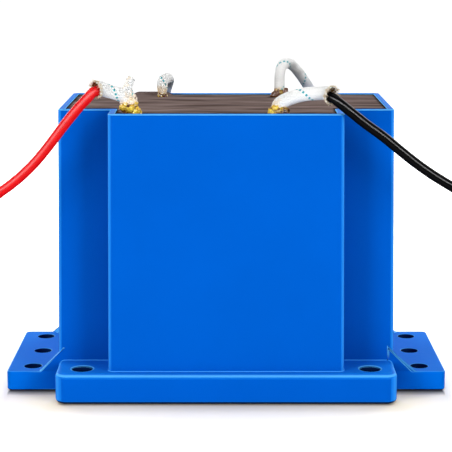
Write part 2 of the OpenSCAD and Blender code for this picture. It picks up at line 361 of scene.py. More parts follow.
# %% Cloudy tone
cloudy_tone, given, taken = new_group(
    "cloudy tone",
    {
        "Tone": ("Color", GREY),
        "Second Tone": ("Color", rgb(0.4, 0.4, 0.4)),
        "Patch Scale": ("Float", 100.0),
        "Stretch": ("Vector", (1.0, 1.0, 1.0)),
    },
    {"Colour": "Color", "Mask": "Float"},
)
place = add_node(cloudy_tone, "TexCoord").outputs["Object"]
place = vector_maths(cloudy_tone, "MULTIPLY", place, given["Stretch"])
patches = noise_at(cloudy_tone, place, given["Patch Scale"], 4.0)
patches = ranged(cloudy_tone, patches, 0.3, 0.7)
drifting = mix_colour(cloudy_tone, patches, given["Tone"], given["Second Tone"])
feed(cloudy_tone, taken, {"Colour": drifting, "Mask": patches})
print("group:", cloudy_tone.name)


def cloud_of(tree, tones, patch_scale, stretch=(1, 1, 1)):
    """The colour and the mask of a cloudy tone. tones is the tone and the second one."""
    inputs = dict(Tone=tones[0], Second_Tone=tones[1], Patch_Scale=patch_scale, Stretch=stretch)
    return place_group(tree, cloudy_tone, **inputs)


# %% Skin texture
skin_texture, given, taken = new_group(
    "skin texture",
    {"Grain Scale": ("Float", 1200.0), "Dull": ("Float", 0.35), "Bright": ("Float", 0.25)},
    {"Height": "Float", "Roughness": "Float"},
)
place = add_node(skin_texture, "TexCoord").outputs["Object"]
grain = noise_at(skin_texture, place, given["Grain Scale"], 3.0)
uneven = ranged(skin_texture, grain, 0.3, 0.7, given["Bright"], given["Dull"])
feed(skin_texture, taken, {"Height": grain, "Roughness": uneven})
print("group:", skin_texture.name)

# %% Yarn fibres
yarn_fibres, given, taken = new_group(
    "yarn fibres",
    {
        "Lines Across": ("Float", 24.0),
        "Lines Along": ("Float", 220.0),
        "Light": ("Color", rgb(0.8, 0.8, 0.8)),
        "Shade": ("Color", GREY),
    },
    {"Colour": "Color", "Height": "Float"},
)
run = parts_of(yarn_fibres, run_of(yarn_fibres))
along = maths(yarn_fibres, "MULTIPLY", run["X"], given["Lines Along"])
across = maths(yarn_fibres, "MULTIPLY", run["Y"], given["Lines Across"])
laid = add_node(yarn_fibres, "CombineXYZ", {"X": along, "Y": across}).outputs[0]
fibre_lines = ranged(yarn_fibres, noise_at(yarn_fibres, laid, 1.0, 2.0), 0.35, 0.65)
lined = mix_colour(yarn_fibres, fibre_lines, given["Shade"], given["Light"])
feed(yarn_fibres, taken, {"Colour": lined, "Height": fibre_lines})
print("group:", yarn_fibres.name)


# %% Finishes
def finish(tree, shader, colour, skin, relief, height=None, added=None):
    """Feeds a shader its colour, its roughness and its bump.

    skin is the grain scale and the dull and bright roughness of the shared
    texture, and relief the strength of the bump and its depth in millimetres.
    The bump follows the texture, or height in its place, and what is added.
    """
    texture = place_group(tree, skin_texture, Grain_Scale=skin[0], Dull=skin[1], Bright=skin[2])
    if height is None:
        height = texture["Height"]
    if added is not None:
        height = maths(tree, "ADD", added, height)
    inputs = {"Height": height, "Strength": relief[0], "Distance": relief[1] * MM}
    bump = add_node(tree, "Bump", inputs).outputs[0]
    inputs = {"Base Color": colour, "Roughness": texture["Roughness"], "Normal": bump}
    feed(tree, shader, inputs)


def clouded(name, tones, patch_scale, skin, relief, rings=None, **sockets):
    """A plain finish in two tones. rings is the scale of faint rings round a strand."""
    material, tree, shader = new_material(name, **sockets)
    cloud = cloud_of(tree, tones, patch_scale)
    added = noise_at(tree, run_of(tree), rings, 1.0) if rings else None
    finish(tree, shader, cloud["Colour"], skin, relief, added=added)
    print("finish:", name)
    return material


print("finishes ready")

# %% [markdown]
# ## The flying leads
# Each lead is about a third of a metre of soft, shiny hook-up wire. It leaves
# its sleeve, sags over the front edge of the box and goes down at the side,
# where the spare length is wound into two turns and held with a tie. The route
# repeats the CAD route, so the lead lies where its solid is, and the turns are
# worked out with a loop. A physics simulation would have to be steered to end
# in such a coil, so the line is simply drawn. The wire's own strands show
# through the insulation as faint rings.

# %% Insulation
insulation = {
    "red": clouded(
        "red insulation", (rgb(0.84, 0.006, 0.008), rgb(0.76, 0.003, 0.005)), 260.0,
        (700.0, 0.42, 0.36), (0.25, 0.05), rings=900.0, Specular_IOR_Level=0.045,
    ),
    "black": clouded(
        "black insulation", (rgb(0.002, 0.002, 0.0025), rgb(0.003, 0.0025, 0.0025)), 260.0,
        (700.0, 0.12, 0.06), (0.25, 0.05), rings=900.0, Specular_IOR_Level=0.022,
    ),
}

# %% Routes of the leads
routes = {
    "red": line_mm(
        (-38.4, -36.4, 94.6), (-39.1, -37, 94.5), (-40.3, -37.6, 93.2), (-41.6, -38, 91.8),
        (-43.7, -38.6, 89.6), (-47.8, -39.4, 84.6), (-52, -40.1, 79.1), (-56.1, -40.7, 74.2),
        (-60.2, -41.3, 70.2), (-64.3, -41.8, 66.9), (-66.5, -42, 65.4), (-70.7, -42.3, 61.5),
        (-73.9, -42.5, 56.5), (-75.7, -42.6, 50.8), (-76, -42.5, 44), (-76, -42.4, 36),
        (-76, -42.2, 28.5), (-76, -42.1, 21), (-76.6, -42, 14.6), (-79, -42, 8.8),
        (-82.8, -42, 4.6), (-87.4, -42, 2.4), (-92, -42, 2), (-94, -42, 2),
    ),
    "black": line_mm(
        (31.1, -36.4, 92.7), (31.8, -37, 92.5), (32.9, -37.6, 91.6), (34.2, -38, 90.6),
        (36.5, -38.4, 88.8), (41.2, -39, 85.1), (46, -39.6, 81.7), (50.6, -40.2, 78),
        (55.4, -40.8, 74.2), (60.1, -41.4, 70.9), (64.8, -42, 68), (67.2, -42.1, 66.6),
        (70.4, -42.3, 64.1), (73.4, -42.5, 60.1), (75.3, -42.6, 55.4), (76, -42.5, 50),
        (76, -42.4, 43), (76, -42.3, 36), (76, -42.2, 28.5), (76, -42.1, 21), (76.6, -42, 14.6),
        (79, -42, 8.8), (82.8, -42, 4.6), (87.4, -42, 2.4), (92, -42, 2), (94, -42, 2),
    ),
}
# How each lead comes to the first point of its route, inside its sleeve
inside_sleeve = {
    "red": line_mm((-35.6, -34.3, 94.6), (-37, -35.3, 95)),
    "black": line_mm((26.7, -33.6, 93.6), (29, -34.7, 93.5)),
}
print("route points:", {colour: len(route) for colour, route in routes.items()})


# %% Coils of the leads
coil_x, coil_y, coil_z = 94 * MM, -24 * MM, 2 * MM
coil_outer, coil_inner = 18 * MM, 15 * MM
coil_end, tip_turn = 360 + 260, 30
step_in_at, step_in_for = 300, 50


def coil_point(side, angle, radius):
    """A point of a coil, turning from its foremost point and away from the box."""
    turn = math.radians(angle)
    return Vector(
        (side * (coil_x + radius * math.sin(turn)), coil_y - radius * math.cos(turn), coil_z)
    )


def coil_radius(angle):
    """The lead runs from the outer turn to the inner one near the end of a turn."""
    return coil_outer + smooth_share((angle - step_in_at) / step_in_for) * (coil_inner - coil_outer)


def lead_line(side, inside, route):
    """The whole lead, from inside the sleeve to where its bare tip starts."""
    laid = smooth_line([*inside, *route], 1.2 * MM)
    return laid[:-1] + [coil_point(side, a, coil_radius(a)) for a in range(0, coil_end + 1, 5)]


lead_sides = {"red": -1, "black": 1}
lead_lines = {
    colour: lead_line(side, inside_sleeve[colour], routes[colour])
    for colour, side in lead_sides.items()
}
for colour, line in lead_lines.items():
    print(colour, "lead:", round(distances(line)[-1] / MM, 1), "mm of insulated length")

# %% Leads as tubes
lead_radius, cut_radius = 1.5 * MM, 1.35 * MM
leads = {}
for colour, line in lead_lines.items():
    radii = [cut_radius, *[lead_radius] * (len(line) - 2), cut_radius]
    strands = Strands()
    strands.add(tube_rings(line, radii, 24, BACK), distances(line))
    nodes = (colour + "_lead", colour + "_lead_coil")
    leads[colour] = strands.piece(
        colour + "_flying_lead", [insulation[colour]], nodes, colour + "_insulation"
    )

# %% [markdown]
# ### The tinned tips
# The last centimetre of each lead is stripped, twisted and dipped in solder.
# Seven thin strands, six turning round a straight one, read as a twisted wire
# even from close by, where a single rod would look like a pin.

# %% Tinned copper
tinned_copper = clouded(
    "tinned copper", (rgb(0.78, 0.77, 0.75), rgb(0.6, 0.58, 0.55)), 900.0,
    (2500.0, 0.42, 0.26), (0.3, 0.02), Metallic=1.0,
)


# %% Twisted strands
def twisted_strands(strands, line, diameter, pitch, slot=0):
    """Six wires turned round a seventh, which together fill the diameter."""
    wire = diameter / 6
    frames, along = carried_frames(line, Vector((0.1, 1, 0.2))), distances(line)
    strands.add(tube_rings(line, [wire] * len(line), 8, BACK), along, slot=slot)
    for k in range(6):
        turned = []
        for p, (_, side, up), s in zip(line, frames, along):
            angle = math.tau * (k / 6 + s / pitch)
            turned.append(p + 2 * wire * (math.cos(angle) * side + math.sin(angle) * up))
        strands.add(tube_rings(turned, [wire] * len(turned), 8, BACK), along, slot=slot)


for colour, side in lead_sides.items():
    tip = [coil_point(side, coil_end + tip_turn * i / 24, coil_inner) for i in range(25)]
    strands = Strands()
    twisted_strands(strands, tip, 1.6 * MM, 7 * MM)
    strands.piece(
        colour + "_tinned_tip", [tinned_copper], (colour + "_lead_tip",), "tinned_copper"
    )

# %% [markdown]
# ## Rounded copies of the exact solids
# A moulded part has no sharp edge: each one is a small radius that catches the
# light as a thin line. The CAD mesh may not be changed, so a copy of it is
# cleaned of its triangles, and its sharp edges are bevelled. A Bevel modifier
# could do that, but here each vertex also keeps a value that tells an outer
# bevel, where the box paints a lighter blue as a highlight.


# %% Rounded copy
flat_angle, sharp_angle = math.radians(0.5), math.radians(30)


def round_off(bm, edges, width, segments):
    made = bmesh.ops.bevel(
        bm, geom=edges, offset=width, offset_type="OFFSET", segments=segments, profile=0.5,
        affect="EDGES", clamp_overlap=False,
    )
    return set(made["faces"])


def rounded_copy(node, name, width, material, foot=None, holes=()):
    """A copy of a CAD piece with its sharp edges rounded by a width.

    foot is a height, a place along Y and a width of its own for the edges below
    that height and in front of that place. holes lists (x, y, radius) of upright
    holes, whose walls get a value of one. No vertex leaves the piece's own box.
    """
    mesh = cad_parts[node].data.copy()
    bm = bmesh.new()
    bm.from_mesh(mesh)
    bmesh.ops.remove_doubles(bm, verts=bm.verts, dist=0.001 * MM)
    bmesh.ops.dissolve_limit(
        bm, angle_limit=flat_angle, verts=bm.verts, edges=bm.edges, delimit=set()
    )

    def in_hole(v, more):
        return any(math.hypot(v.co.x - x, v.co.y - y) < r + more for x, y, r in holes)

    def at_foot(v):
        return v.co.z < foot[0] and v.co.y < foot[1] and not in_hole(v, width)

    def sharp_edges():
        return [e for e in bm.edges if e.is_manifold and e.calc_face_angle() > sharp_angle]

    if foot:
        outline = [e for e in sharp_edges() if all(at_foot(v) for v in e.verts)]
        round_off(bm, outline, foot[2], 5)
    bevelled = round_off(bm, sharp_edges(), width, 3)
    low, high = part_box(node)
    for v in bm.verts:
        v.co = [min(max(c, a), b) for c, a, b in zip(v.co, low, high)]
    # mask marks outer bevels, where the box paints a highlight; inside marks hole walls, which it
    # darkens as painted shade
    edge = bm.verts.layers.float.new("mask")
    inside = bm.verts.layers.float.new("inside")
    for v in bm.verts:
        convex = sum(e.calc_face_angle_signed(0) for e in v.link_edges) > 0
        v[edge] = float(convex and all(f in bevelled for f in v.link_faces))
        v[inside] = float(in_hole(v, 0.25 * width))
    bm.to_mesh(mesh)
    bm.free()
    mesh.materials.clear()
    dress_mesh(mesh, [material])
    piece = seat_piece(name, mesh, (node,))
    level = piece.modifiers.new("flat faces stay flat", "WEIGHTED_NORMAL")
    level.keep_sharp = False
    level.weight = 100
    return piece


print("edges sharper than", round(math.degrees(sharp_angle)), "degrees are rounded")

# %% [markdown]
# ### The ties
# A releasable strap of black nylon goes round both turns of each coil. Its
# edges are bevelled like those of the box, and its plastic is duller than the
# insulation beside it. A strap drawn anew would only repeat the solid.

# %% Ties
tie_plastic = clouded(
    "tie plastic", (rgb(0.02, 0.02, 0.022), rgb(0.035, 0.034, 0.034)), 500.0,
    (1800.0, 0.6, 0.45), (0.4, 0.03), Specular_IOR_Level=0.05,
)
ties = {
    colour: rounded_copy(
        colour + "_lead_tie", colour + "_coil_tie", 0.1 * MM, tie_plastic
    )
    for colour in leads
}

# %% Leads and ties are made
print("leads and ties made")

# %% [markdown]
# ## The box
# The box is one moulding: a T-shaped cup with thick ears and a front flange.
# Its blue is strong and even, and every edge shows as a thin pale line, because
# the moulding is rounded there and the skin is polished. Reflections alone
# would draw those lines only where a lamp happens to stand, so they are painted
# highlights: two ramps give them by the way the rounding faces, one for upright
# edges and one for level ones, which also paints the top faces a little lighter,
# and the outer bevels add a painted highlight of their own. Hole walls, the turn
# under the foot and the upright faces in recesses and corners are darkened with
# painted shade. The fronts of the ears, which the flange shades, are a little
# lighter with painted light.

# %% Painted highlights of the blue moulding
blue_moulding, tree, shader = new_material("blue moulding", Specular_IOR_Level=0.006)
cloud = cloud_of(tree, (rgb(0.0, 0.118, 0.64), rgb(0.0, 0.11, 0.6)), 28.0)
place = add_node(tree, "TexCoord").outputs
facing = parts_of(tree, vector_maths(tree, "ABSOLUTE", place["Normal"]))
# Painted highlight: pale blue where an upright rounding turns part way to the side
upright_painted_highlights = colour_ramp(
    tree, facing["X"],
    ((0.28, 0), (0.44, 0.003, 0.19, 0.82), (0.6, 0.014, 0.24, 0.9),
     (0.74, 0.03, 0.32, 1.0), (0.9, 0.03, 0.3, 0.95), (0.99, 0)),
)
# Painted highlight on level roundings, and a painted lighter blue on the top faces
level_painted_light = colour_ramp(
    tree, facing["Z"],
    ((0.0, 0), (0.1, 0, 0.128, 0.7), (0.26, 0.003, 0.168, 0.73), (0.42, 0.008, 0.2, 0.76),
     (0.52, 0.085, 0.46, 1.0), (0.74, 0.07, 0.41, 1.0), (0.84, 0.008, 0.18, 0.76),
     (0.97, 0.004, 0.195, 0.78), (1.0, 0.008, 0.205, 0.8)),
)
# Painted highlight: lighter blue on the outer bevels
painted_edge_highlight = colour_ramp(tree, vertex_value(tree, "mask"), ((0.0, 0), (0.6, 0.1, 0.5, 1.0)))
blue = cloud["Colour"]
for paler in (painted_edge_highlight, upright_painted_highlights, level_painted_light):
    blue = mix_colour(tree, 1.0, blue, paler, "LIGHTEN")
print("pale lines on the", blue_moulding.name)

# %% Painted light and shade of the blue moulding
ear_starts, ear_ends, ear_lit_below = 52 * MM, 62 * MM, 6 * MM
spot = parts_of(tree, vector_maths(tree, "ABSOLUTE", place["Object"]))
# Painted light: the low fronts of the ears beside the flange are lighter
ear_front_painted_light = ranged(tree, spot["X"], ear_starts, ear_ends)
for share in (maths(tree, "LESS_THAN", spot["Z"], ear_lit_below), facing["Y"]):
    ear_front_painted_light = maths(tree, "MULTIPLY", ear_front_painted_light, share)
blue = mix_colour(tree, ear_front_painted_light, blue, rgb(0.0, 0.2, 0.95))
# Painted shade: upright faces are darker where other parts of the box are near, as ambient
# occlusion
occlusion_shade = add_node(tree, "AmbientOcclusion", {"Distance": 14 * MM}, samples=6, only_local=True)
upright = ranged(tree, facing["Z"], 0.0, 1.0, 0.6, 0.0)
dark = maths(tree, "MULTIPLY", maths(tree, "SUBTRACT", 1.0, occlusion_shade.outputs["AO"]), upright)
# Painted shade under the foot, where the faces turn down, and on the hole walls
under_foot = ranged(tree, parts_of(tree, place["Normal"])["Z"], -0.2, -0.5)
hole_wall_shade = ranged(tree, vertex_value(tree, "inside"), 0.0, 0.45)
for other in (under_foot, hole_wall_shade):
    dark = maths(tree, "MAXIMUM", dark, other)
# The painted shade is a dark navy
blue = mix_colour(tree, dark, blue, rgb(0.002, 0.015, 0.08))
finish(tree, shader, blue, (650.0, 0.36, 0.28), (0.2, 0.03))
print("finish:", blue_moulding.name)

# %% Box
# Where each hole is and its radius: two in the flange and three in each ear
flange_back = -25 * MM
hole_places = [(s * 44, -34.2, 3.0) for s in (-1, 1)]
for s in (-1, 1):
    hole_places += [(s * 61, -18.5, 2.65), (s * 60, 0, 2.65), (s * 61, 18.5, 2.65)]
box = rounded_copy(
    "case", "moulded_box", 0.4 * MM, blue_moulding,
    foot=(0.1 * MM, flange_back - 0.1 * MM, 1.3 * MM),
    holes=[tuple(c * MM for c in hole) for hole in hole_places],
)

# %% [markdown]
# ## The cast resin
# The resin was poured almost to the rim and set with long streaks in it, like
# wood grain, because its filler was stirred and then dragged along. A flat face
# would do from far away, but the surface is a fine T-shaped grid, so that it
# can rise a little at the walls and sag between them. Darker borders along the
# walls, which are painted shade, and a few dark drips of real stain beside the
# varnish are kept as a value on the grid, and the streaks come from stretched
# noise.

# %% Resin material
resin, tree, shader = new_material("potting resin", Specular_IOR_Level=0.0)
broad_tones = (rgb(0.34, 0.262, 0.245), rgb(0.12, 0.087, 0.079))
broad = cloud_of(tree, broad_tones, 1.0, stretch=(48.0, 240.0, 48.0))
thin = cloud_of(tree, (WHITE, rgb(0.55, 0.5, 0.48)), 1.0, stretch=(80.0, 620.0, 80.0))
streaked = mix_colour(tree, 1.0, broad["Colour"], thin["Colour"], "MULTIPLY")
# The mask paints shade along the walls and at the front, and real stain at the drips
stained_and_shaded = mix_colour(tree, vertex_value(tree, "mask"), streaked, rgb(0.006, 0.004, 0.004))
finish(tree, shader, stained_and_shaded, (1500.0, 0.75, 0.55), (0.35, 0.08), height=thin["Mask"])
print("finish:", resin.name)

# %% Height and darkness of the resin
resin_low, resin_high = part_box("resin_fill")
bulge_side, shoulder = 33 * MM, -23 * MM
drips = [
    (-32.4, -28.6, 1.5), (-32, -31.2, 1.7), (-33, -25.6, 1.0), (-30.2, -31.4, 1.7),
    (-27.6, -31.8, 1.6), (-25.2, -31, 1.3), (-20.6, 20.2, 1.3), (15.2, 15.6, 1.7),
    (20, 18.4, 1.5), (12.6, -31, 1.0), (18.8, -30.4, 1.2), (16.2, -34, 1.5),
]
# The dark border along the walls and the dark band behind the front wall are painted shade; the
# drips are real stains
climb_width, dark_border = 0.9 * MM, 1.0 * MM
# These are in millimetres
dark_front = 6.6
mound_left, mound_right, mound_front, mound_height = -31.5, -17.5, 18, 0.95


def wall_distance(x, y):
    """How far a point of the resin is from the nearest wall, and from the front."""
    sides = min(resin_high.x - abs(x), resin_high.y - y)
    if y >= shoulder:
        front = y - shoulder if abs(x) > bulge_side else y - resin_low.y
        corner = math.hypot(max(0, bulge_side - abs(x)), y - shoulder)
        return min(sides, front, corner), front
    return min(bulge_side - abs(x), y - resin_low.y), y - resin_low.y


def resin_point(x, y):
    """Height and darkness of the resin at a place.

    It climbs a little at the walls, and stands in a low mound at the back wall,
    behind the rear left sleeve. Along the walls and the front it is darkened as
    painted shade, and round the drips it is stained dark.
    """
    wall, front = wall_distance(x, y)
    swell = noise.noise(Vector((x * 90, y * 160, 0))) * 0.07
    swell += noise.noise(Vector((x * 300, y * 900, 4))) * 0.025
    climb = 0.18 * max(0, 1 - wall / climb_width) ** 2
    ragged = 0.6 * noise.noise(Vector((x * 260, y * 260, 9)))
    dark = max(0, 1 - wall / dark_border, 0.9 * held(dark_front + 0.8 * ragged - front / MM))
    for drip_x, drip_y, reach in drips:
        away = math.hypot(x / MM - drip_x, y / MM - drip_y) / reach
        dark = max(dark, min(1, 1.7 + ragged - 1.5 * away))
    mound = mound_height * smooth_share((y / MM - mound_front) / 4.5)
    mound *= smooth_share((x / MM - mound_left) / 2.5) * smooth_share((mound_right - x / MM) / 2.5)
    return resin_high.z + (swell + climb + mound - 0.08) * MM, held(dark)


print("resin in mm:", [round(x / MM, 1) for x in (*resin_low, *resin_high)])

# %% Resin surface
step = 0.5 * MM
columns = round((resin_high.x - resin_low.x) / step)
rows = round((resin_high.y - resin_low.y) / step)
index, points, faces, darkness = {}, [], [], []
for j in range(rows + 1):
    for i in range(columns + 1):
        x, y = resin_low.x + i * step, resin_low.y + j * step
        if y < shoulder - 0.1 * step and abs(x) > bulge_side + 0.1 * step:
            continue
        z, dark = resin_point(x, y)
        index[i, j] = len(points)
        points.append((x, y, z))
        darkness.append(dark)
for (i, j), first in index.items():
    corners = [index.get(c) for c in ((i + 1, j), (i + 1, j + 1), (i, j + 1))]
    if None not in corners:
        faces.append((first, *corners))
mesh = bpy.data.meshes.new("resin_surface")
mesh.from_pydata(points, [], faces)
dress_mesh(mesh, [resin], mask=darkness)
seat_piece("resin_surface", mesh, ("resin_fill",))

# %% [markdown]
# ## The braided sleeves
# A high temperature sleeve is braided from flat bundles of glass fibre: as many
# turn one way as the other, and each goes over one and under the next. One blue
# green tracer yarn marks the grade. The braid could be a bump on a tube, but
# its outline, its open mouth and its dashes of tracer all come from the real
# crossing of the yarns, so each yarn is a strand of its own.
#
# The lower end of each sleeve soaked up varnish, and a mask that is strong at
# the foot tints the yarns amber there. The same mask below zero paints grey
# shade on the under side of the rear sleeves and of the fold.


# %% Braid materials
def braid_yarn(name, light, shade, varnish, roughness):
    """Glass yarn with fibre lines, tinted where varnish has soaked in."""
    material, tree, shader = new_material(name, Specular_IOR_Level=0.05)
    fibres = place_group(
        tree, yarn_fibres, Light=light, Shade=shade, Lines_Across=26.0, Lines_Along=260.0
    )
    soak = vertex_value(tree, "mask")
    # Painted shade: grey towards the outline, where the yarn turns away, and on the under side
    # where the mask is below zero
    rim = add_node(tree, "LayerWeight", {"Blend": 0.5}).outputs["Facing"]
    painted_shade = maths(tree, "MULTIPLY", soak, -1.0)
    painted_shade = maths(tree, "MAXIMUM", painted_shade, ranged(tree, rim, 0.75, 1.0, 0.0, 0.7))
    with_painted_shade = mix_colour(tree, painted_shade, fibres["Colour"], rgb(0.07, 0.08, 0.08))
    tinted = mix_colour(tree, soak, with_painted_shade, varnish)
    skin = (1600.0, roughness + 0.12, roughness)
    finish(tree, shader, tinted, skin, (0.5, 0.04), height=fibres["Height"])
    print("finish:", name)
    return material


white_yarn = braid_yarn(
    "white glass yarn", rgb(1.0, 1.0, 0.985), rgb(0.81, 0.82, 0.81), rgb(0.8, 0.52, 0.17), 0.42
)
tracer_yarn = braid_yarn(
    "tracer yarn", rgb(0.02, 0.48, 0.52), rgb(0.01, 0.3, 0.36), rgb(0.7, 0.5, 0.2), 0.42
)
# Dark brown for varnish soaked into the inside, and as painted shade inside the mouth
shaded_lining = braid_yarn(
    "sleeve lining", rgb(0.3, 0.2, 0.1), rgb(0.12, 0.06, 0.02), rgb(0.22, 0.09, 0.015), 0.6
)
browned_fibre = braid_yarn(
    "browned fibre", rgb(0.95, 0.87, 0.7), rgb(0.75, 0.6, 0.38), rgb(0.25, 0.1, 0.03), 0.5
)


# %% Braid
def braid(strands, line, radius_at, yarns, pitch, side, tint_at, tracer, wide, flat=1.0):
    """Two sets of yarns round a line, woven over and under each other.

    radius_at gives the radius at a distance along the line, and tint_at the tint
    at a distance, a place and the way from the line to that place. yarns is how
    many turn each way, pitch the length of one turn and wide half a yarn's
    width. tracer is the number of the yarn that uses the second slot, with a
    minus sign for one of the second set.
    """
    frames, along = carried_frames(line, side), distances(line)
    wave, half = 0.12 * MM, 0.1 * MM
    for hand in (1, -1):
        for k in range(yarns):
            centres, outward = [], []
            for p, (_, s, u), d in zip(line, frames, along):
                turn = math.tau * (k / yarns + hand * d / pitch)
                crossing = hand * 2 * yarns * d / pitch + k
                lift = hand * (-1) ** k * math.cos(math.pi * crossing)
                out = math.cos(turn) * s + math.sin(turn) * flat * u
                radius = radius_at(d) - half - wave + lift * wave
                centres.append(p + radius * out)
                outward.append((math.cos(turn) * s * flat + math.sin(turn) * u).normalized())
            rings = []
            for i, (centre, out) in enumerate(zip(centres, outward)):
                ahead = centres[min(i + 1, len(centres) - 1)] - centres[max(i - 1, 0)]
                across = ahead.cross(out).normalized()
                rings.append(round_ring(centre, across * wide, out * half, 1, 6))
            tints = [tint_at(d, c, c - p) for d, c, p in zip(along, centres, line)]
            strands.add(rings, along, tints, slot=int(hand * k == tracer))


print("braid ready")


# %% Varnish and grime on the yarns
def soaked(reach, start=1.0, patches=0.5, painted_shade_from=None, painted_shade=0.0):
    """A varnish tint that fades over a reach from the foot, with ragged patches.

    From the distance painted_shade_from on, the under side is painted grey as
    shade, by up to painted_shade. Both lengths are in millimetres.
    """

    def tint(distance, place, out):
        ragged = patches * noise.noise(place * 900)
        made = held(start * (1.15 - distance / (reach * MM)) + ragged)
        if painted_shade_from is None or distance < painted_shade_from * MM:
            return made
        # Painted shade on the under side, where the yarn faces down
        under = 0.45 - 0.8 * out.normalized().z + 0.5 * noise.noise(place * 420)
        fade = min(1, (distance - painted_shade_from * MM) / (2 * MM))
        return made - painted_shade * fade * held(under)

    return tint


print("tints ready")

# %% Feet and lines of the sleeves
foot_places = {
    "front_left": (-28.5, -32.5), "front_right": (15.5, -32.5),
    "rear_left": (-21, 17.5), "rear_right": (17.5, 17.5),
}
feet = {
    corner: Vector((x * MM, y * MM, resin_high.z)) for corner, (x, y) in foot_places.items()
}
sleeve_points = {
    "front_left": [
        (0, 0, 0), (0, 0, 1.6), (0, 0, 3.2), (-0.9, 0, 4.6), (-2.7, -0.2, 5.6), (-5, -0.9, 6.4),
        (-7.3, -1.9, 7.2), (-8.8, -3, 7.8), (-9.8, -3.8, 7.6),
    ],
    "front_right": [
        (0, 0, 0), (0, 0, 1.4), (0.2, 0, 2.5), (1.1, -0.1, 3.4), (2.8, -0.2, 4.3),
        (5, -0.4, 5.1), (8, -0.6, 5.8), (11.2, -1.1, 6.1), (13.9, -2.3, 6.3), (15.5, -3.8, 5.9),
    ],
    "rear_left": [
        (0, 0, 0), (0, 0, 1.9), (0, 0.5, 3.7), (0.2, 1.9, 5), (0.9, 4, 5.4), (1.6, 6, 5.3),
        (1.9, 7.6, 4.6), (1.4, 9.4, 2.8), (0.7, 10.7, 0.3), (0.5, 11.4, -2.8), (0.5, 11.6, -6),
        (0.5, 11.6, -8.6),
    ],
    "rear_right": [
        (0, 0, 0), (0, 0, 1.9), (0, 0.1, 4.2), (0.1, 0.6, 6.9), (0.7, 1.9, 9.4),
        (1.9, 3.4, 10.5), (3.6, 5.2, 10.3), (5.4, 6.8, 8.8), (7.3, 8.4, 6.4), (9.2, 10.1, 3.6),
        (10.9, 11.4, 0.8), (12, 12.1, -2.4), (12.5, 12.3, -5.6), (12.6, 12.3, -8.6),
    ],
}


def sleeve_line(corner, points):
    return [feet[corner] + p for p in smooth_line(line_mm(*points), 0.16 * MM)]


sleeve_lines = {corner: sleeve_line(corner, points) for corner, points in sleeve_points.items()}
for corner, line in sleeve_lines.items():
    print(corner, "sleeve:", round(distances(line)[-1] / MM, 1), "mm,", len(line), "points")


# %% Sleeve
def sleeve_radius(corner, body, mouth, flare, narrower=0.0):
    """Radius along a sleeve, flared at its mouth. The sizes are in millimetres.

    narrower is how much less the radius is at the foot.
    """
    body, mouth, flare, narrower = (size * MM for size in (body, mouth, flare, narrower))
    length, foot_reach = distances(sleeve_lines[corner])[-1], 3 * MM

    def radius(distance):
        open_share = max(0, 1 - (length - distance) / flare)
        made = body + (mouth - body) * open_share * open_share
        return made - narrower * (1 - smooth_share(distance / foot_reach))

    return radius


def sleeve_piece(corner, radius_at, tint_at, side, tracer, angle):
    """A braided sleeve open at its far end, with a dark brown lining for varnish soaked in and for
    painted shade inside the mouth.

    angle is how far the yarns lean from the sleeve's line, in degrees.
    """
    line, yarns, sides = sleeve_lines[corner], 12, 24
    thick, browned_for, core_from_end = 0.4 * MM, 2.5 * MM, 3 * MM
    round_about, lean = math.tau * radius_at(3 * MM), math.radians(angle)
    strands = Strands()
    braid(
        strands, line, radius_at, yarns, round_about / math.tan(lean), side, tint_at, tracer,
        wide=0.53 * round_about * math.cos(lean) / yarns,
    )
    along = distances(line)
    rings = tube_rings(line, [radius_at(d) - thick for d in along], sides, side)
    browned = [max(0, 1 - (along[-1] - d) / browned_for) for d in along]
    strands.add(rings[:-1], along[:-1], browned[:-1], slot=2, caps=False)
    stop = next(i for i, d in enumerate(along) if along[-1] - d <= core_from_end)
    start = len(strands.points)
    strands.points.extend(rings[stop])
    strands.masks.extend([1.0] * sides)
    strands.add_disc(start, sides, 0, 1, 2)
    finishes = [white_yarn, tracer_yarn, shaded_lining]
    strands.piece(corner + "_braid", finishes, (corner + "_sleeve",), "braided_sleeve")


print("sleeve ready")

# %% Sleeves
sleeve_piece(
    "front_left", sleeve_radius("front_left", 2.1, 2.65, 2.6), soaked(5.5), BACK, 7, 53
)
sleeve_piece(
    "front_right", sleeve_radius("front_right", 2.1, 2.75, 3), soaked(3.4), BACK, 4, 53
)
sleeve_piece(
    "rear_left", sleeve_radius("rear_left", 1.8, 1.85, 2, narrower=0.65),
    soaked(3.2, painted_shade_from=8, painted_shade=0.9), ACROSS, -3, 50,
)
sleeve_piece(
    "rear_right", sleeve_radius("rear_right", 1.8, 1.85, 2),
    soaked(3, 1.3, painted_shade_from=11, painted_shade=0.65), ACROSS, 7, 50,
)

# %% [markdown]
# ### The pinched fold
# Where the front left sleeve turns over, a fold of braid was pinched upright
# and set hard with varnish. Bending the sleeve's own mesh up would tear its
# weave, so it is a short flattened braid of its own, narrower towards its top.

# %% Fold on the front left sleeve
fold_points = [
    (-0.6, 0, 2.4), (-0.8, 0, 4.2), (-0.9, 0, 6), (-0.8, 0, 7.6), (-0.2, 0, 9.2), (0.6, 0, 10.6),
]
fold_line, fold_length = sleeve_line("front_left", fold_points), 8.2 * MM


def fold_radius(distance):
    share = min(1, distance / fold_length)
    neck = smooth_share((share - 0.35) / 0.4)
    return (2.4 - 1.0 * neck - 0.2 * share**4 + 0.12 * math.sin(share * 9)) * MM


strands = Strands()
braid(
    strands, fold_line, fold_radius, 10, 11 * MM, ACROSS, soaked(9, 0.35, 0.55, 2, 0.35), 6,
    wide=0.29 * MM, flat=0.62,
)
strands.piece(
    "front_left_fold", [white_yarn, tracer_yarn], ("front_left_sleeve",), "braided_sleeve"
)

